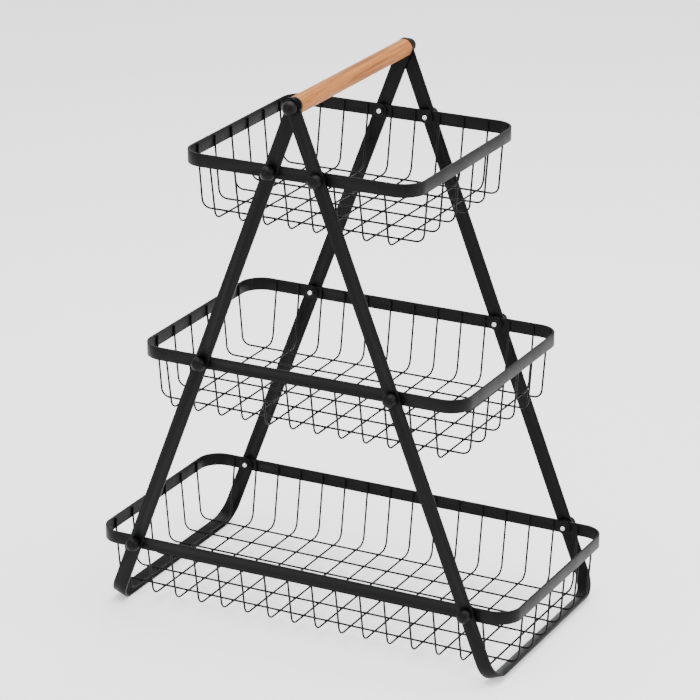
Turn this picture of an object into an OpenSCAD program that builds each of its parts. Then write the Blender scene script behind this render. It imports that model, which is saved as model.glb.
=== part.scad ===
// Three-tier fruit basket stand: two leaning U-shaped strip frames cross under a wooden
// carry grip and hold three welded wire baskets. Millimetres, +Z up, base centre at the origin.

/* [Leg frames] */
// Width of the flat strip
strip_w = 13.6; // [12:0.2:16]
// Thickness of the flat strip
strip_t = 2; // [1.6:0.2:2.6]
// Lean of each frame from upright, in degrees
lean = 21.06; // [18:0.5:24]
// Strip length from the crossing down to the underside of the foot run
leg_len = 530.4; // [520:2:560]
// Outer radius of the bend between leg and foot run
foot_r = 20; // [12:1:30]
// How far the strip runs past the crossing
tip_len = 9.7; // [8.5:0.1:12]
// Depth ground off the edge that stands on the floor
foot_grind = 0.4; // [0.2:0.1:0.8]

/* [Tiers] */
// Distance down the strip from the crossing to the upper basket's bolts
upper_drop = 64; // [60:1:80]
// Distance down the strip to the middle basket's bolts
middle_drop = 263; // [250:1:280]
// Distance down the strip to the lower basket's bolts
lower_drop = 464; // [458:1:466]

/* [Basket rims] */
// Front-to-back size of every basket
basket_d = 209.2; // [190:2:230]
// Length of the upper basket
upper_len = 227.5; // [222:1:236]
// Length of the middle basket
middle_len = 318.7; // [314:1:330]
// Length of the lower basket
lower_len = 416.7; // [410:1:426]
// Height of the rim strip
rim_h = 11.8; // [10:0.2:13]
// Thickness of the rim strip
rim_t = 1.8; // [1.4:0.2:2.4]
// Outer corner radius of the rims
rim_r = 21; // [16:1:22]

/* [Basket wires] */
// Wire diameter
wire_d = 1.8; // [1.4:0.2:2.2]
// Spacing of the cross wires, which run front to back
cross_pitch = 24; // [23.6:0.2:24.2]
// Spacing of the long wires, which run along the basket
long_pitch = 30; // [28:0.5:31]
// Number of cross wires in the upper basket
upper_count = 8; // [8]
// Number of cross wires in the middle basket
middle_count = 12; // [12]
// Number of cross wires in the lower basket
lower_count = 16; // [16]
// Number of long wires in each basket
long_count = 6; // [4:2:6]
// Depth from the rim's middle to the centre of the cross wires' floor
basket_drop = 54.5; // [46:0.5:56]
// How far the front and back walls lean in
cross_inset = 8; // [4:0.5:12]
// How far the end walls lean in
long_inset = 3.5; // [2:0.5:8]
// Bend radius of the cross wires at the floor
cross_bend = 9.5; // [6:0.5:14]
// Bend radius of the long wires at the floor
long_bend = 8; // [5:0.5:12]
// How far the wire ends stop below the rim's top edge
wire_end_gap = 1.5; // [0.5:0.5:3]

/* [Fasteners] */
// Diameter of the ball heads
ball_d = 13; // [11:0.5:15]
// Height of the ball's centre above its seat
ball_rise = 4.5; // [3.5:0.5:5]
// Bolt shank diameter
shank_d = 5; // [4:0.5:5.5]
// Radial clearance of the shank in strips, rims and washers
shank_gap = 0.2; // [0.1:0.1:0.4]
// Flange diameter of the weld nuts
nut_flange_d = 13; // [11:0.5:14]
// Flange thickness of the weld nuts
nut_flange_t = 1.5; // [1:0.5:2]
// Hub diameter of the weld nuts
nut_hub_d = 9; // [8:0.5:10]
// Full height of the weld nuts
nut_h = 4; // [3.5:0.5:6]
// Outer diameter of the spacer washers
spacer_d = 13; // [10:0.5:13.5]

/* [Carry grip] */
// Grip diameter
grip_d = 16; // [14:0.5:22]
// Height of the grip's axis above the crossing of the strips
grip_rise = 1.3; // [0:0.1:1.5]
// Rounding of the grip's end edges
grip_edge = 1; // [0.5:0.25:1.5]
// Outer diameter of the threaded inserts
insert_d = 8; // [7.5:0.5:10]
// Length of the threaded inserts
insert_len = 16; // [12:1:25]
// Depth of the hole beyond the insert
insert_room = 4; // [2:1:8]

/* [Hidden] */
$fn = 64;
wire_sides = 8;
bend_steps = 4;
cut = 1;
coat = [0.07, 0.07, 0.075];
zinc = [0.75, 0.75, 0.76];
oak = [0.78, 0.58, 0.4];

half_strip = strip_w / 2;
half_d = basket_d / 2;
left_face = half_d;
right_face = half_d + strip_t;
crossing_z = leg_len * cos(lean) + half_strip * sin(lean) - foot_grind;
grip_z = crossing_z + grip_rise;
hole_r = shank_d / 2 + shank_gap;
thread_gap = 0.05;
wire_r = wire_d / 2;
// The walls start to lean in just under the rim
kink_drop = rim_h / 2 + 1;
wire_top = rim_h / 2 - wire_end_gap;
long_drop = basket_drop - wire_d;

function tier_z(drop) = crossing_z - drop * cos(lean);
function tier_x(drop) = drop * sin(lean);

// One U-shaped frame, upright, with the crossing at the origin; face is its inner face in Y
module upright_frame(face) {
    outer = face + strip_t;
    for (side = [0, 1]) mirror([0, side, 0]) {
        translate([-half_strip, face, foot_r - leg_len])
            cube([strip_w, strip_t, leg_len - foot_r + tip_len - half_strip]);
        translate([0, outer, tip_len - half_strip])
            rotate([90, 0, 0])
                rotate_extrude(angle = 180) square([half_strip, strip_t]);
        translate([half_strip, outer - foot_r, foot_r - leg_len])
            rotate([0, -90, 0]) rotate([0, 0, 90])
                rotate_extrude(angle = 90)
                    translate([foot_r - strip_t, 0]) square([strip_t, strip_w]);
    }
    translate([-half_strip, foot_r - outer, -leg_len])
        cube([strip_w, 2 * (outer - foot_r), strip_t]);
}

// A frame leaned over (way -1 leans its foot to -X), drilled and ground level at the foot
module leg_frame(way, face) {
    reach = 2 * (face + strip_t) + 2 * cut;
    difference() {
        translate([0, 0, crossing_z]) rotate([0, -way * lean, 0]) upright_frame(face);
        for (drop = [upper_drop, middle_drop, lower_drop])
            translate([way * tier_x(drop), 0, tier_z(drop)])
                rotate([90, 0, 0]) cylinder(h = reach, r = hole_r, center = true);
        translate([0, 0, grip_z])
            rotate([90, 0, 0]) cylinder(h = reach, r = hole_r, center = true);
        translate([-lower_len, -reach / 2, -lower_len])
            cube([2 * lower_len, reach, lower_len]);
    }
}

module leg_frame_left() {
    color(coat) leg_frame(-1, left_face);
}

module leg_frame_right() {
    color(coat) leg_frame(1, right_face);
}

// A strip bent to a rounded rectangle and drilled for its four bolts
module rim(len, drop) {
    half_l = len / 2;
    translate([0, 0, tier_z(drop)]) difference() {
        translate([0, 0, -rim_h / 2]) for (sx = [0, 1], sy = [0, 1])
            mirror([sx, 0, 0]) mirror([0, sy, 0]) {
                translate([0, half_d - rim_t, 0]) cube([half_l - rim_r, rim_t, rim_h]);
                translate([half_l - rim_t, 0, 0]) cube([rim_t, half_d - rim_r, rim_h]);
                translate([half_l - rim_r, half_d - rim_r, 0])
                    rotate_extrude(angle = 90)
                        translate([rim_r - rim_t, 0]) square([rim_t, rim_h]);
            }
        for (way = [-1, 1]) translate([way * tier_x(drop), 0, 0])
            rotate([90, 0, 0]) cylinder(h = basket_d + 2 * cut, r = hole_r, center = true);
    }
}

module upper_rim() {
    color(coat) rim(upper_len, upper_drop);
}

module middle_rim() {
    color(coat) rim(middle_len, middle_drop);
}

module lower_rim() {
    color(coat) rim(lower_len, lower_drop);
}

// Stations down one half of a wire in the XZ plane, each [x, z, heading]: straight down
// inside the rim, in along the leaning wall, then round the bend onto the floor
function half_wire(half_top, inset, drop, bend) =
    let (depth = drop - kink_drop,
        tilt = atan(inset / depth),
        flat = half_top - inset - bend * tan((90 - tilt) / 2))
    concat([[half_top, wire_top, 270], [half_top, -kink_drop, 270 - tilt / 2]],
        [for (i = [0 : bend_steps])
            let (at = -tilt - (90 - tilt) * i / bend_steps)
            [flat + bend * cos(at), bend - drop + bend * sin(at), at - 90]]);

function whole_wire(half) =
    concat(half, [for (i = [len(half) - 1 : -1 : 0]) [-half[i][0], half[i][1], -half[i][2]]]);

// A round wire through the stations, with as much metal in its cross-section as a true circle
module swept_wire(stations) {
    n = wire_sides;
    r = wire_r * sqrt(2 * PI / (n * sin(360 / n)));
    last = len(stations) - 1;
    points = [for (s = stations, k = [0 : n - 1])
        let (a = 360 * k / n)
        [s[0] - r * cos(a) * sin(s[2]), r * sin(a), s[1] + r * cos(a) * cos(s[2])]];
    sides = [for (i = [0 : last - 1], k = [0 : n - 1], half = [0, 1])
        let (p = i * n + k, q = i * n + (k + 1) % n)
        half == 0 ? [p, q, q + n] : [p, q + n, p + n]];
    caps = [for (k = [1 : n - 2], end = [0, 1])
        end == 0 ? [0, k + 1, k] : [last * n, last * n + k, last * n + k + 1]];
    polyhedron(points = points, faces = concat(sides, caps), convexity = 4);
}

module tray_wire(half_top, inset, drop, bend) {
    swept_wire(whole_wire(half_wire(half_top, inset, drop, bend)));
}

module cross_wires(count, drop) {
    translate([0, 0, tier_z(drop)]) for (i = [0 : count - 1])
        translate([(i - (count - 1) / 2) * cross_pitch, 0, 0]) rotate([0, 0, 90])
            tray_wire(half_d - rim_t - wire_r, cross_inset, basket_drop, cross_bend);
}

module long_wires(len, drop) {
    translate([0, 0, tier_z(drop)]) for (i = [0 : long_count - 1])
        translate([0, (i - (long_count - 1) / 2) * long_pitch, 0])
            tray_wire(len / 2 - rim_t - wire_r, long_inset, long_drop, long_bend);
}

module upper_cross_wires() {
    color(coat) cross_wires(upper_count, upper_drop);
}

module middle_cross_wires() {
    color(coat) cross_wires(middle_count, middle_drop);
}

module lower_cross_wires() {
    color(coat) cross_wires(lower_count, lower_drop);
}

module upper_long_wires() {
    color(coat) long_wires(upper_len, upper_drop);
}

module middle_long_wires() {
    color(coat) long_wires(middle_len, middle_drop);
}

module lower_long_wires() {
    color(coat) long_wires(lower_len, lower_drop);
}

// Places its child at the four bolts of a tier, with +Z pointing out of the stand;
// left_y and right_y are the child's distances from the middle on the two frames
module at_bolts(drop, left_y, right_y) {
    for (side = [0, 1]) mirror([0, side, 0]) {
        translate([-tier_x(drop), left_y, tier_z(drop)]) rotate([-90, 0, 0]) children();
        translate([tier_x(drop), right_y, tier_z(drop)]) rotate([-90, 0, 0]) children();
    }
}

module weld_nut() {
    mirror([0, 0, 1]) difference() {
        union() {
            cylinder(h = nut_flange_t, d = nut_flange_d);
            translate([0, 0, nut_flange_t]) cylinder(h = nut_h - nut_flange_t, d = nut_hub_d);
        }
        translate([0, 0, -cut])
            cylinder(h = nut_h + 2 * cut, r = shank_d / 2 + thread_gap);
    }
}

module weld_nuts(drop) {
    at_bolts(drop, half_d - rim_t, half_d - rim_t) weld_nut();
}

module upper_weld_nuts() {
    color(coat) weld_nuts(upper_drop);
}

module middle_weld_nuts() {
    color(coat) weld_nuts(middle_drop);
}

module lower_weld_nuts() {
    color(coat) weld_nuts(lower_drop);
}

// Ball-headed bolt with its seat at z = 0 and its shank pointing down
module ball_bolt(grip) {
    translate([0, 0, -grip]) cylinder(h = grip, d = shank_d);
    difference() {
        translate([0, 0, ball_rise]) sphere(d = ball_d);
        translate([-ball_d, -ball_d, -2 * ball_d]) cube(2 * ball_d);
    }
}

module ball_bolts(drop) {
    for (side = [0, 1]) mirror([0, side, 0]) {
        translate([-tier_x(drop), left_face + strip_t, tier_z(drop)])
            rotate([-90, 0, 0]) ball_bolt(strip_t + rim_t + nut_h);
        translate([tier_x(drop), right_face + strip_t, tier_z(drop)])
            rotate([-90, 0, 0]) ball_bolt(2 * strip_t + rim_t + nut_h);
    }
}

module upper_ball_bolts() {
    color(coat) ball_bolts(upper_drop);
}

module middle_ball_bolts() {
    color(coat) ball_bolts(middle_drop);
}

module lower_ball_bolts() {
    color(coat) ball_bolts(lower_drop);
}

// Washers that fill the step between the rims and the outer, right-hand frame
module spacers(drop) {
    for (side = [0, 1]) mirror([0, side, 0])
        translate([tier_x(drop), half_d, tier_z(drop)]) rotate([-90, 0, 0]) difference() {
            cylinder(h = right_face - half_d, d = spacer_d);
            translate([0, 0, -cut])
                cylinder(h = right_face - half_d + 2 * cut, r = hole_r);
        }
}

module upper_spacers() {
    color(coat) spacers(upper_drop);
}

module middle_spacers() {
    color(coat) spacers(middle_drop);
}

module lower_spacers() {
    color(coat) spacers(lower_drop);
}

// Turned dowel between the inner faces of the left frame, bored at both ends
module handle_grip() {
    r = grip_d / 2;
    color(oak) translate([0, 0, grip_z]) rotate([90, 0, 0]) difference() {
        union() {
            cylinder(h = basket_d - 2 * grip_edge, r = r, center = true);
            for (side = [0, 1]) mirror([0, 0, side])
                translate([0, 0, half_d - grip_edge])
                    cylinder(h = grip_edge, r1 = r, r2 = r - grip_edge);
        }
        for (side = [0, 1]) mirror([0, 0, side])
            translate([0, 0, half_d - insert_len - insert_room])
                cylinder(h = insert_len + insert_room + cut, d = insert_d);
    }
}

module handle_inserts() {
    color(zinc) translate([0, 0, grip_z]) rotate([90, 0, 0])
        for (side = [0, 1]) mirror([0, 0, side])
            translate([0, 0, half_d - insert_len]) difference() {
                cylinder(h = insert_len, d = insert_d);
                translate([0, 0, -cut])
                    cylinder(h = insert_len + 2 * cut, r = shank_d / 2 + thread_gap);
            }
}

module handle_ball_bolts() {
    color(coat) translate([0, 0, grip_z])
        for (side = [0, 1]) mirror([0, side, 0])
            translate([0, right_face + strip_t, 0]) rotate([-90, 0, 0])
                ball_bolt(2 * strip_t + insert_len);
}

leg_frame_left();
leg_frame_right();
upper_rim();
upper_cross_wires();
upper_long_wires();
upper_weld_nuts();
upper_ball_bolts();
upper_spacers();
middle_rim();
middle_cross_wires();
middle_long_wires();
middle_weld_nuts();
middle_ball_bolts();
middle_spacers();
lower_rim();
lower_cross_wires();
lower_long_wires();
lower_weld_nuts();
lower_ball_bolts();
lower_spacers();
handle_grip();
handle_inserts();
handle_ball_bolts();
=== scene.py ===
import math

import bpy
from bpy.props import FloatProperty, FloatVectorProperty, IntProperty, PointerProperty
from mathutils import Matrix, Vector


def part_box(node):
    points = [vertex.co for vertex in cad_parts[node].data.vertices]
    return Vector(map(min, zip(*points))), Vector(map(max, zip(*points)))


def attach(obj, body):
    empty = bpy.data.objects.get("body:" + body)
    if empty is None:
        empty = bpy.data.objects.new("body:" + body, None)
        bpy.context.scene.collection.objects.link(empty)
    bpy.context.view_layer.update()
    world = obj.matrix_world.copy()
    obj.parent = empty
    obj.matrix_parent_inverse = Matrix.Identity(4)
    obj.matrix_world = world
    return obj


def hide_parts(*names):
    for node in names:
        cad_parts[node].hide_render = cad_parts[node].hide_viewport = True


bl_info = {
    "name": "Three-tier basket stand",
    "version": (1, 0, 0),
    "blender": (4, 5, 0),
    "location": "View3D > Sidebar > Basket stand",
    "description": "Dresses a strip-framed stand with wire baskets and a wooden carry grip",
    "category": "Object",
}

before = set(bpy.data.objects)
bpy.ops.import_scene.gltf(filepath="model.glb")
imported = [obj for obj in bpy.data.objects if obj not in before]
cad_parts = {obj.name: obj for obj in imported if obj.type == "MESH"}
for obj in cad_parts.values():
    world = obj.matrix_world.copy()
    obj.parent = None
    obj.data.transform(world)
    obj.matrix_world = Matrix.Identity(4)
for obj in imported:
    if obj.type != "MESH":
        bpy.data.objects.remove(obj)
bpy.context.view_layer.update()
MM = 0.001
BODY = "root"
TIERS = ("upper", "middle", "lower")
CROSS_COUNT = {"upper": 8, "middle": 12, "lower": 16}
LONG_COUNT = 6
QUARTER_TURN = math.pi / 2

# Sizes of the solids that the wires and bolt ends have to meet
RIM_WALL = 1.8 * MM
KINK_BELOW_RIM = 1.0 * MM
WIRE_END_GAP = 1.5 * MM
NUT_FLANGE_RADIUS = 6.5 * MM
NUT_HEIGHT = 4.0 * MM

# Sections round each of a wire's bends
KINK_STEPS = 2
BEND_STEPS = 8

# How close points have to be to become one
SOLID_MERGE = 0.002 * MM
WIRE_MERGE = 0.01 * MM
MIRROR_MERGE = 0.02 * MM
SAME_HEIGHT = 0.001 * MM

# Edges sharper than this are rounded, and flatter ones are shaded smooth
BEVEL_ANGLE = math.radians(50)
FLAT_ANGLE = math.radians(0.3)
STRIP_SMOOTH = math.radians(35)
WIRE_SMOOTH = math.radians(60)
TIP_SMOOTH = math.radians(30)

STRIP_GRIT = 1500.0
WIRE_GRIT = 2200.0
FASTENER_GRIT = 2600.0
FASTENER_LIFT = 1.15
FASTENER_ROUND = 0.25 * MM
INSERT_ROUND = 0.2 * MM
COAT_SPECULAR = 0.1
WOOD_SPECULAR = 0.15

# How strongly the pores and flecks darken the wood
LAYER_STRENGTH = 0.7

# Bolt end: a chamfered tip that stands a little way out of its nut
TIP_BASE_RADIUS = 2.45 * MM
TIP_END_RADIUS = 1.9 * MM
TIP_LENGTH = 0.8 * MM
TIP_SHIFT = 0.1 * MM
TIP_SIDES = 24

# The viewing direction, as the camera's own right, up and backward directions
VIEW_RIGHT = Vector((0.88911, 0.45768, -0.00143))
VIEW_UP = Vector((-0.15989, 0.31352, 0.93603))
VIEW_BACK = Vector((0.42885, -0.83201, 0.35193))
VIEW_PLACE = Vector((1.25735, -2.44231, 1.27677))
SENSOR_WIDTH = 36.0


class WireSizes(bpy.types.PropertyGroup):
    """Sizes of the basket wires."""

    diameter: FloatProperty(
        name="Wire diameter", description="Diameter of every basket wire",
        default=1.8 * MM, unit="LENGTH")
    cross_pitch: FloatProperty(
        name="Cross pitch", description="Spacing of the front-to-back wires",
        default=24 * MM, unit="LENGTH")
    long_pitch: FloatProperty(
        name="Long pitch", description="Spacing of the wires along the basket",
        default=30 * MM, unit="LENGTH")
    drop: FloatProperty(
        name="Basket drop", description="Rim middle to the cross wires' floor",
        default=54.5 * MM, unit="LENGTH")
    cross_inset: FloatProperty(
        name="Front wall lean", description="How far the front and back walls lean in",
        default=8 * MM, unit="LENGTH")
    long_inset: FloatProperty(
        name="End wall lean", description="How far the end walls lean in",
        default=3.5 * MM, unit="LENGTH")
    cross_bend: FloatProperty(
        name="Cross bend", description="Floor bend radius of the cross wires",
        default=9.5 * MM, unit="LENGTH")
    long_bend: FloatProperty(
        name="Long bend", description="Floor bend radius of the long wires",
        default=8 * MM, unit="LENGTH")
    kink_bend: FloatProperty(
        name="Rim bend", description="Bend radius just under the rim",
        default=6 * MM, unit="LENGTH")
    weld_swell: FloatProperty(
        name="Weld swell", description="Radius of a spot weld's nugget",
        default=1.15 * MM, unit="LENGTH")
    sides: IntProperty(
        name="Sides", description="Faces round a wire", default=10, min=6, max=24)


class CoatFinish(bpy.types.PropertyGroup):
    """Colour and edge wear of the black powder coat."""

    colour: FloatVectorProperty(
        name="Coat colour", description="Base colour of the powder coat",
        default=(0.0028, 0.0028, 0.0032), size=3, subtype="COLOR", min=0, max=1)
    edge_colour: FloatVectorProperty(
        name="Rubbed colour", description="Where the coat is thin and slightly rubbed",
        default=(0.008, 0.008, 0.0085), size=3, subtype="COLOR", min=0, max=1)
    roughness: FloatProperty(
        name="Coat roughness", description="Roughness of the satin coat",
        default=0.4, min=0, max=1, subtype="FACTOR")
    edge_round: FloatProperty(
        name="Edge round", description="Rounding of the strip edges under the coat",
        default=0.4 * MM, unit="LENGTH")


class GripFinish(bpy.types.PropertyGroup):
    """Colours of the wooden grip."""

    light: FloatVectorProperty(
        name="Light grain", description="Lighter wood between the streaks",
        default=(0.38, 0.14, 0.034), size=3, subtype="COLOR", min=0, max=1)
    dark: FloatVectorProperty(
        name="Dark grain", description="Darker streaks along the grip",
        default=(0.2, 0.062, 0.014), size=3, subtype="COLOR", min=0, max=1)
    roughness: FloatProperty(
        name="Wood roughness", description="Roughness of the sealed wood",
        default=0.5, min=0, max=1, subtype="FACTOR")
    edge_round: FloatProperty(
        name="End rounding", description="Rounding of the grip's end edges",
        default=0.5 * MM, unit="LENGTH")


class StageSetup(bpy.types.PropertyGroup):
    """Camera and light for the studio view."""

    lens: FloatProperty(
        name="Lens", description="Camera lens for a 36 mm wide sensor, in mm", default=168.52)
    key_power: FloatProperty(
        name="Key light", description="Power of the light on the right, in watts", default=26.0)
    fill_power: FloatProperty(
        name="Fill light", description="Power of the light in front, in watts", default=24.0)
    top_power: FloatProperty(
        name="Top light", description="Power of the overhead light, in watts", default=110.0)
    world: FloatProperty(
        name="Surroundings", description="Strength of the white surroundings", default=1.15)
    floor_glow: FloatProperty(
        name="Floor glow", description="How far the floor is lifted towards white",
        default=0.45)


def look_nodes(name):
    """A new material with its node tree and its Principled shader."""
    mat = bpy.data.materials.new(name)
    mat.use_nodes = True
    tree = mat.node_tree
    return mat, tree, tree.nodes["Principled BSDF"]


def add_node(tree, kind, **values):
    """Adds a node; each value sets a property of that name, or else an input socket."""
    node = tree.nodes.new(kind)
    for key, value in values.items():
        if hasattr(node, key):
            setattr(node, key, value)
        else:
            node.inputs[key.replace("_", " ")].default_value = value
    return node


def ramp(tree, source, stops):
    """A colour ramp on a factor, from (position, colour) stops in rising order."""
    node = add_node(tree, "ShaderNodeValToRGB")
    tree.links.new(source, node.inputs["Fac"])
    band = node.color_ramp
    band.elements[0].position, band.elements[0].color = stops[0][0], (*stops[0][1], 1)
    band.elements[1].position, band.elements[1].color = stops[-1][0], (*stops[-1][1], 1)
    for at, colour in stops[1:-1]:
        band.elements.new(at).color = (*colour, 1)
    return node


def grey(value):
    """A grey as three equal channels."""
    return (value, value, value)


def bump_from(tree, shader, height, strength, depth):
    """Gives a shader a bump from a height; the depth is in metres."""
    bump = add_node(tree, "ShaderNodeBump", Strength=strength, Distance=depth)
    tree.links.new(height, bump.inputs["Height"])
    tree.links.new(bump.outputs["Normal"], shader.inputs["Normal"])


def coat_look(name, colour, rubbed, roughness, grit):
    """Satin powder coat: fine orange peel, soft patches of sheen and slightly paler rubs."""
    mat, tree, shader = look_nodes(name)
    coords = add_node(tree, "ShaderNodeTexCoord").outputs["Object"]
    patches = add_node(tree, "ShaderNodeTexNoise", Scale=38.0, Detail=3.0, Roughness=0.55)
    peel = add_node(tree, "ShaderNodeTexNoise", Scale=grit, Detail=2.0, Roughness=0.6)
    for noise in (patches, peel):
        tree.links.new(coords, noise.inputs["Vector"])
    deep = [0.82 * c for c in colour]
    tint = ramp(tree, patches.outputs["Fac"], [(0.3, deep), (0.62, colour), (0.8, rubbed)])
    tree.links.new(tint.outputs["Color"], shader.inputs["Base Color"])
    glossier, duller = roughness - 0.06, roughness + 0.08
    sheen = ramp(tree, patches.outputs["Fac"], [(0.25, grey(glossier)), (0.75, grey(duller))])
    tree.links.new(sheen.outputs["Color"], shader.inputs["Roughness"])
    bump_from(tree, shader, peel.outputs["Fac"], strength=0.18, depth=0.04 * MM)
    shader.inputs["Specular IOR Level"].default_value = COAT_SPECULAR
    return mat


def wood_look(name, light, dark, roughness):
    """Long grain along Y with fine pores, a few broad streaks and small dark flecks."""
    mat, tree, shader = look_nodes(name)
    coords = add_node(tree, "ShaderNodeTexCoord").outputs["Object"]

    def grain(scale, detail, seed):
        place = add_node(tree, "ShaderNodeMapping")
        place.inputs["Scale"].default_value = scale
        place.inputs["Location"].default_value = seed
        noise = add_node(tree, "ShaderNodeTexNoise", Scale=1.0, Detail=detail, Roughness=0.6)
        tree.links.new(coords, place.inputs["Vector"])
        tree.links.new(place.outputs["Vector"], noise.inputs["Vector"])
        return noise.outputs["Fac"]

    streaks = grain(scale=(330, 11, 330), detail=4.0, seed=(3.1, 0.4, 7.7))
    pores = grain(scale=(1500, 55, 1500), detail=2.0, seed=(1.3, 9.2, 4.6))
    flecks = grain(scale=(700, 260, 700), detail=1.0, seed=(8.4, 2.2, 5.9))
    middle = [0.5 * (a + b) for a, b in zip(light, dark)]
    base = ramp(tree, streaks, [(0.32, dark), (0.45, middle), (0.6, light)])
    fine = ramp(tree, pores, [(0.35, grey(0.72)), (0.55, grey(1.0))])
    spot = ramp(tree, flecks, [(0.22, grey(0.35)), (0.28, grey(1.0))])
    colour = base.outputs["Color"]
    for layer in (fine, spot):
        mix = add_node(tree, "ShaderNodeMix", data_type="RGBA", blend_type="MULTIPLY")
        mix.inputs["Factor"].default_value = LAYER_STRENGTH
        tree.links.new(colour, mix.inputs["A"])
        tree.links.new(layer.outputs["Color"], mix.inputs["B"])
        colour = mix.outputs["Result"]
    tree.links.new(colour, shader.inputs["Base Color"])
    sealed, open_grain = roughness - 0.06, roughness + 0.12
    sheen = ramp(tree, pores, [(0.3, grey(open_grain)), (0.7, grey(sealed))])
    tree.links.new(sheen.outputs["Color"], shader.inputs["Roughness"])
    bump_from(tree, shader, pores, strength=0.25, depth=0.08 * MM)
    shader.inputs["Specular IOR Level"].default_value = WOOD_SPECULAR
    return mat


def zinc_look(name):
    """Bright plated steel with faint mottling."""
    mat, tree, shader = look_nodes(name)
    coords = add_node(tree, "ShaderNodeTexCoord").outputs["Object"]
    mottle = add_node(tree, "ShaderNodeTexNoise", Scale=420.0, Detail=2.0)
    tree.links.new(coords, mottle.inputs["Vector"])
    tint = ramp(tree, mottle.outputs["Fac"], [(0.3, grey(0.62)), (0.7, grey(0.8))])
    tree.links.new(tint.outputs["Color"], shader.inputs["Base Color"])
    sheen = ramp(tree, mottle.outputs["Fac"], [(0.3, grey(0.25)), (0.7, grey(0.42))])
    tree.links.new(sheen.outputs["Color"], shader.inputs["Roughness"])
    shader.inputs["Metallic"].default_value = 1.0
    return mat


def coat(name, grit, lift=1.0):
    """The black coat of that name, made on first use; lift pales its colour."""
    if name in bpy.data.materials:
        return bpy.data.materials[name]
    finish = bpy.context.scene.stand_coat
    return coat_look(name, [lift * c for c in finish.colour], tuple(finish.edge_colour),
                     finish.roughness, grit)


def pick_only(obj):
    """Selects one object and makes it active."""
    bpy.ops.object.select_all(action="DESELECT")
    obj.select_set(True)
    bpy.context.view_layer.objects.active = obj


def smooth(obj, angle):
    """Shades an object smooth, apart from edges sharper than the angle."""
    pick_only(obj)
    bpy.ops.object.shade_smooth_by_angle(angle=angle)


def keep_modifier(obj, kind, **settings):
    """Adds a modifier and applies it."""
    pick_only(obj)
    mod = obj.modifiers.new(kind.title(), kind)
    for key, value in settings.items():
        setattr(mod, key, value)
    bpy.ops.object.modifier_apply(modifier=mod.name)


def finish_piece(obj, material, nodes=()):
    """Gives a piece its material and slot, parents it to the body and hides the CAD nodes it
    stands for.
    """
    obj.data.materials.clear()
    obj.data.materials.append(material)
    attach(obj, BODY)
    if nodes:
        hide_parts(*nodes)


def coated_copy(node, name, edge_round, segments=2):
    """A CAD node's own shape, merged, with its sharp edges rounded as under a coat."""
    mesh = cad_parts[node].data.copy()
    obj = bpy.data.objects.new(name, mesh)
    bpy.context.scene.collection.objects.link(obj)
    pick_only(obj)
    bpy.ops.object.mode_set(mode="EDIT")
    bpy.ops.mesh.select_all(action="SELECT")
    bpy.ops.mesh.customdata_custom_splitnormals_clear()
    bpy.ops.mesh.remove_doubles(threshold=SOLID_MERGE)
    bpy.ops.mesh.dissolve_limited(angle_limit=FLAT_ANGLE)
    bpy.ops.object.mode_set(mode="OBJECT")
    keep_modifier(obj, "BEVEL", width=edge_round, segments=segments, limit_method="ANGLE",
                  angle_limit=BEVEL_ANGLE, use_clamp_overlap=True)
    smooth(obj, STRIP_SMOOTH)
    return obj


def bent_wire(half_top, inset, drop, bend, kink_drop, wire_top):
    """One tray wire in the XZ plane, swept from a ring at the rim to the middle, mirrored."""
    wires = bpy.context.scene.stand_wires
    depth = drop - kink_drop
    tilt = math.atan(inset / depth)
    foot = bend * math.tan((QUARTER_TURN - tilt) / 2)
    kink = wires.kink_bend * math.tan(tilt / 2)
    wall = depth / math.cos(tilt) - foot - kink
    flat = half_top - inset - foot
    bpy.ops.object.select_all(action="DESELECT")
    bpy.ops.mesh.primitive_circle_add(
        vertices=wires.sides, radius=wires.diameter / 2, location=(half_top, 0, wire_top))
    obj = bpy.context.active_object
    bpy.ops.object.transform_apply(location=True)
    bpy.ops.object.mode_set(mode="EDIT")
    bpy.ops.mesh.select_all(action="SELECT")

    def run(dx, dz):
        bpy.ops.mesh.extrude_region_move(TRANSFORM_OT_translate={"value": (dx, 0, dz)})

    def turn(angle, centre, count):
        bpy.ops.mesh.spin(steps=count, angle=angle, center=centre, axis=(0, -1, 0))

    run(0, -(wire_top + kink_drop - kink))
    turn(tilt, (half_top - wires.kink_bend, 0, -kink_drop + kink), KINK_STEPS)
    run(-wall * math.sin(tilt), -wall * math.cos(tilt))
    turn(QUARTER_TURN - tilt, (flat, 0, bend - drop), BEND_STEPS)
    run(-flat, 0)
    bpy.ops.mesh.select_all(action="DESELECT")
    bpy.ops.object.mode_set(mode="OBJECT")
    # The cut end at the rim is closed; the other end meets its mirror image
    for vertex in obj.data.vertices:
        vertex.select = abs(vertex.co.z - wire_top) < SAME_HEIGHT
    bpy.ops.object.mode_set(mode="EDIT")
    bpy.ops.mesh.select_mode(type="VERT")
    bpy.ops.mesh.edge_face_add()
    bpy.ops.object.mode_set(mode="OBJECT")
    keep_modifier(obj, "MIRROR", use_axis=(True, False, False), use_mirror_merge=True,
                  merge_threshold=MIRROR_MERGE)
    bpy.ops.object.mode_set(mode="EDIT")
    bpy.ops.mesh.select_all(action="SELECT")
    bpy.ops.mesh.remove_doubles(threshold=WIRE_MERGE)
    bpy.ops.mesh.normals_make_consistent(inside=False)
    bpy.ops.object.mode_set(mode="OBJECT")
    return obj


def spread_copies(master, places, name):
    """Joins one copy of the master's mesh at every place, then removes the master."""
    copies = []
    for place in places:
        mesh = master.data.copy()
        mesh.transform(place)
        copy = bpy.data.objects.new(name, mesh)
        bpy.context.scene.collection.objects.link(copy)
        copies.append(copy)
    bpy.data.objects.remove(master)
    bpy.ops.object.select_all(action="DESELECT")
    for copy in copies:
        copy.select_set(True)
    bpy.context.view_layer.objects.active = copies[0]
    bpy.ops.object.join()
    joined = bpy.context.active_object
    joined.name = name
    return joined


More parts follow.
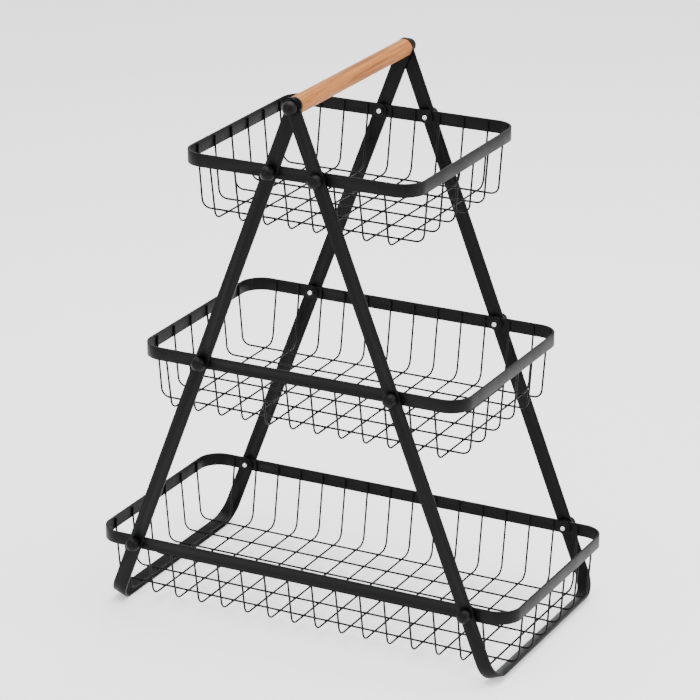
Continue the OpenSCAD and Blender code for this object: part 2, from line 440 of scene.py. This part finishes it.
def spread_wires(tier, kind, master, places, look):
    """Copies a bent wire to its places and lets the row stand for the tier's CAD wires."""
    piece = spread_copies(master, places, f"{tier}_bent_{kind}_wires")
    smooth(piece, WIRE_SMOOTH)
    finish_piece(piece, look, [f"{tier}_{kind}_wires"])


def bolt_ends(tier):
    """The chamfered, uncoated ends of a tier's bolts, just past the faces of the weld nuts."""
    low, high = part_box(tier + "_weld_nuts")
    middle = (low.z + high.z) / 2
    reach = high.x - NUT_FLANGE_RADIUS
    face = high.y - NUT_HEIGHT
    bpy.ops.object.select_all(action="DESELECT")
    bpy.ops.mesh.primitive_cone_add(
        vertices=TIP_SIDES, radius1=TIP_BASE_RADIUS, radius2=TIP_END_RADIUS, depth=TIP_LENGTH)
    tip = bpy.context.active_object
    places = [Matrix.Translation((x, side * (face - TIP_SHIFT), middle))
              @ Matrix.Rotation(side * QUARTER_TURN, 4, "X")
              for x in (-reach, reach) for side in (-1, 1)]
    piece = spread_copies(tip, places, tier + "_bolt_ends")
    smooth(piece, TIP_SMOOTH)
    return piece


def steps(count, pitch):
    """Places of a centred row."""
    return [(i - (count - 1) / 2) * pitch for i in range(count)]


def rim_sizes(tier):
    """Half length, half depth, middle height and half height of a tier's rim."""
    low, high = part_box(tier + "_rim")
    return high.x, high.y, (low.z + high.z) / 2, (high.z - low.z) / 2


class STAND_OT_strips(bpy.types.Operator):
    """Rounds and coats the two leg frames and the three basket rims"""

    bl_idname = "stand.strips"
    bl_label = "Coat frames and rims"

    def execute(self, context):
        edge = context.scene.stand_coat.edge_round
        strip = coat("black_powder_coat", STRIP_GRIT)
        for node in ("leg_frame_left", "leg_frame_right", *[t + "_rim" for t in TIERS]):
            piece = coated_copy(node, "coated_" + node, edge)
            finish_piece(piece, strip, [node])
        return {"FINISHED"}


class STAND_OT_wires(bpy.types.Operator):
    """Sweeps the round cross wires and long wires of every basket"""

    bl_idname = "stand.wires"
    bl_label = "Bend the basket wires"

    def execute(self, context):
        wires = context.scene.stand_wires
        look = coat("black_coated_wire", WIRE_GRIT)
        to_centre = RIM_WALL + wires.diameter / 2
        quarter = Matrix.Rotation(QUARTER_TURN, 4, "Z")
        for tier in TIERS:
            half_l, half_d, middle, half_h = rim_sizes(tier)
            kink_drop = half_h + KINK_BELOW_RIM
            wire_top = half_h - WIRE_END_GAP
            master = bent_wire(half_d - to_centre, wires.cross_inset, wires.drop,
                               wires.cross_bend, kink_drop, wire_top)
            places = [Matrix.Translation((x, 0, middle)) @ quarter
                      for x in steps(CROSS_COUNT[tier], wires.cross_pitch)]
            spread_wires(tier, "cross", master, places, look)
            master = bent_wire(half_l - to_centre, wires.long_inset,
                               wires.drop - wires.diameter, wires.long_bend,
                               kink_drop, wire_top)
            places = [Matrix.Translation((0, y, middle))
                      for y in steps(LONG_COUNT, wires.long_pitch)]
            spread_wires(tier, "long", master, places, look)
        return {"FINISHED"}


class STAND_OT_welds(bpy.types.Operator):
    """Adds the small coated nuggets where wires are spot welded to each other"""

    bl_idname = "stand.welds"
    bl_label = "Add the spot welds"

    flatness = 0.62

    def execute(self, context):
        wires = context.scene.stand_wires
        look = coat("black_coated_wire", WIRE_GRIT)
        for tier in TIERS:
            middle = rim_sizes(tier)[2]
            bpy.ops.object.select_all(action="DESELECT")
            bpy.ops.mesh.primitive_ico_sphere_add(subdivisions=1, radius=wires.weld_swell)
            nugget = bpy.context.active_object
            bpy.ops.object.mode_set(mode="EDIT")
            bpy.ops.mesh.select_all(action="SELECT")
            bpy.ops.mesh.subdivide(number_cuts=1, smoothness=1.0)
            bpy.ops.transform.resize(value=(1.0, 1.0, self.flatness))
            bpy.ops.object.mode_set(mode="OBJECT")
            height = middle - wires.drop + wires.diameter / 2
            places = [Matrix.Translation((x, y, height))
                      for x in steps(CROSS_COUNT[tier], wires.cross_pitch)
                      for y in steps(LONG_COUNT, wires.long_pitch)]
            piece = spread_copies(nugget, places, tier + "_spot_welds")
            pick_only(piece)
            bpy.ops.object.shade_smooth()
            finish_piece(piece, look)
        return {"FINISHED"}


class STAND_OT_fasteners(bpy.types.Operator):
    """Finishes the weld nuts, spacers, inserts and ball-headed bolts"""

    bl_idname = "stand.fasteners"
    bl_label = "Finish the fasteners"

    def execute(self, context):
        gloss = coat("black_fastener_coat", FASTENER_GRIT, FASTENER_LIFT)
        plated = zinc_look("bright_zinc")
        for tier in TIERS:
            for part in ("weld_nuts", "spacers", "ball_bolts"):
                node = tier + "_" + part
                piece = coated_copy(node, "finished_" + node, FASTENER_ROUND)
                finish_piece(piece, gloss, [node])
            finish_piece(bolt_ends(tier), plated)
        piece = coated_copy("handle_ball_bolts", "finished_handle_ball_bolts", FASTENER_ROUND)
        finish_piece(piece, gloss, ["handle_ball_bolts"])
        piece = coated_copy("handle_inserts", "finished_handle_inserts", INSERT_ROUND)
        finish_piece(piece, plated, ["handle_inserts"])
        return {"FINISHED"}


class STAND_OT_grip(bpy.types.Operator):
    """Rounds the wooden carry grip and gives it its grain"""

    bl_idname = "stand.grip"
    bl_label = "Turn the wooden grip"

    def execute(self, context):
        finish = context.scene.stand_grip
        look = wood_look("sealed_light_wood", tuple(finish.light), tuple(finish.dark),
                         finish.roughness)
        piece = coated_copy("handle_grip", "turned_grip", finish.edge_round, segments=3)
        finish_piece(piece, look, ["handle_grip"])
        return {"FINISHED"}


def paper_look(name, glow):
    """Matt white paper with faint clouds, lifted towards white by a glow."""
    mat, tree, shader = look_nodes(name)
    coords = add_node(tree, "ShaderNodeTexCoord").outputs["Object"]
    clouds = add_node(tree, "ShaderNodeTexNoise", Scale=3.0, Detail=2.0)
    tree.links.new(coords, clouds.inputs["Vector"])
    tint = ramp(tree, clouds.outputs["Fac"], [(0.3, grey(0.87)), (0.7, grey(0.89))])
    tree.links.new(tint.outputs["Color"], shader.inputs["Base Color"])
    shader.inputs["Roughness"].default_value = 0.9
    shader.inputs["Emission Color"].default_value = (1.0, 1.0, 1.0, 1.0)
    shader.inputs["Emission Strength"].default_value = glow
    shader.inputs["Specular IOR Level"].default_value = 0.1
    return mat


def area_light(name, at, aim, size, power):
    """A rectangular lamp at a place, facing an aim point."""
    data = bpy.data.lights.new(name, "AREA")
    data.shape = "RECTANGLE"
    data.size, data.size_y = size
    data.energy = power
    lamp = bpy.data.objects.new(name, data)
    bpy.context.scene.collection.objects.link(lamp)
    lamp.location = at
    lamp.rotation_euler = (Vector(aim) - Vector(at)).to_track_quat("-Z", "Y").to_euler()


class STAND_OT_stage(bpy.types.Operator):
    """Sets out the pale floor, the soft lights and the camera"""

    bl_idname = "stand.stage"
    bl_label = "Set the stage"

    floor_size = 14.0
    floor_drop = 0.2 * MM

    def execute(self, context):
        setup = context.scene.stand_stage
        bpy.ops.object.select_all(action="DESELECT")
        bpy.ops.mesh.primitive_plane_add(
            size=self.floor_size, location=(0, 0, -self.floor_drop))
        floor = bpy.context.active_object
        floor.name = "studio_floor"
        floor.data.materials.append(paper_look("white_paper", setup.floor_glow))

        world = bpy.data.worlds.new("white_studio")
        context.scene.world = world
        world.use_nodes = True
        back = world.node_tree.nodes["Background"]
        back.inputs["Color"].default_value = (1.0, 1.0, 1.0, 1.0)
        back.inputs["Strength"].default_value = setup.world

        area_light("key_right", at=(1.9, 0.2, 1.1), aim=(0, 0, 0.25), size=(1.6, 1.6),
                   power=setup.key_power)
        area_light("fill_front", at=(-0.6, -2.6, 1.2), aim=(0, 0, 0.25), size=(1.8, 1.4),
                   power=setup.fill_power)
        area_light("top_soft", at=(0.1, 0.3, 2.4), aim=(0, 0, 0.2), size=(2.4, 2.4),
                   power=setup.top_power)

        lens = bpy.data.cameras.new("studio_camera")
        lens.lens = setup.lens
        lens.sensor_width = SENSOR_WIDTH
        camera = bpy.data.objects.new("studio_camera", lens)
        context.scene.collection.objects.link(camera)
        turn = Matrix((VIEW_RIGHT, VIEW_UP, VIEW_BACK)).transposed().to_4x4()
        camera.matrix_world = Matrix.Translation(VIEW_PLACE) @ turn
        context.scene.camera = camera
        return {"FINISHED"}


class STAND_PT_panel(bpy.types.Panel):
    """Lists the stand's pieces and their settings"""

    bl_idname = "STAND_PT_panel"
    bl_label = "Basket stand"
    bl_space_type = "VIEW_3D"
    bl_region_type = "UI"
    bl_category = "Basket stand"

    def draw(self, context):
        layout = self.layout
        groups = (
            (context.scene.stand_coat, (STAND_OT_strips, STAND_OT_fasteners)),
            (context.scene.stand_wires, (STAND_OT_wires, STAND_OT_welds)),
            (context.scene.stand_grip, (STAND_OT_grip,)),
            (context.scene.stand_stage, (STAND_OT_stage,)),
        )
        for settings, operators in groups:
            box = layout.box()
            for key in settings.__annotations__:
                box.prop(settings, key)
            for operator in operators:
                box.operator(operator.bl_idname)


SETTINGS = {
    "stand_wires": WireSizes,
    "stand_coat": CoatFinish,
    "stand_grip": GripFinish,
    "stand_stage": StageSetup,
}
CLASSES = (
    *SETTINGS.values(), STAND_OT_strips, STAND_OT_wires, STAND_OT_welds, STAND_OT_fasteners,
    STAND_OT_grip, STAND_OT_stage, STAND_PT_panel,
)


def register():
    for cls in CLASSES:
        bpy.utils.register_class(cls)
    for name, cls in SETTINGS.items():
        setattr(bpy.types.Scene, name, PointerProperty(type=cls))


def unregister():
    for name in SETTINGS:
        delattr(bpy.types.Scene, name)
    for cls in reversed(CLASSES):
        bpy.utils.unregister_class(cls)


def main():
    register()
    bpy.ops.stand.strips()
    bpy.ops.stand.wires()
    bpy.ops.stand.welds()
    bpy.ops.stand.fasteners()
    bpy.ops.stand.grip()
    bpy.ops.stand.stage()


if __name__ == "__main__":
    main()
